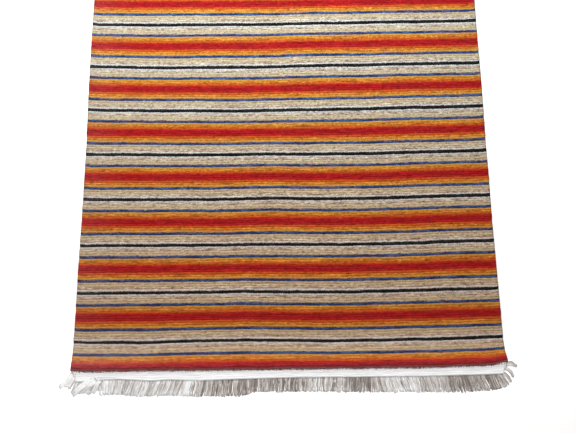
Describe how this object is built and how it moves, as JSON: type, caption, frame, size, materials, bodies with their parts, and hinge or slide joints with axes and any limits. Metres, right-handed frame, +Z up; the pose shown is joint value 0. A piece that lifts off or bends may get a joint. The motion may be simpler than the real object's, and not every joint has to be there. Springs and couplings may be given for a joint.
{
  "type": "nepalese carpet",
  "caption": "Hand-knotted Nepalese carpet lying flat: ribbed wool pile in red, orange, beige, blue and black stripes, white flat-woven end bands, loose cotton fringes splayed at the corners.",
  "frame": {"origin": "middle of the carpet's underside, on the floor", "axes": "X across the width along the stripes, Y along the length with the pictured end at -Y, Z up out of the pile"},
  "size_m": [0.9543, 1.5828, 0.0123],
  "materials": {
    "pile_wool": "knotted wool pile in cross stripes: black, white, beige, blue, amber, orange and red yarn, matt, with one rib for each row of knots",
    "white_cotton": "flat-woven white cotton with a few cross ribs, matt",
    "loose_cotton": "loose off-white cotton warp ends, matt, slightly soiled at the tips"
  },
  "bodies": {
    "root": {"pile_field": "pile_wool", "kilim_band_near": "white_cotton", "kilim_band_far": "white_cotton", "fringe_near": "loose_cotton", "fringe_far": "loose_cotton"}
  },
  "joints": []
}
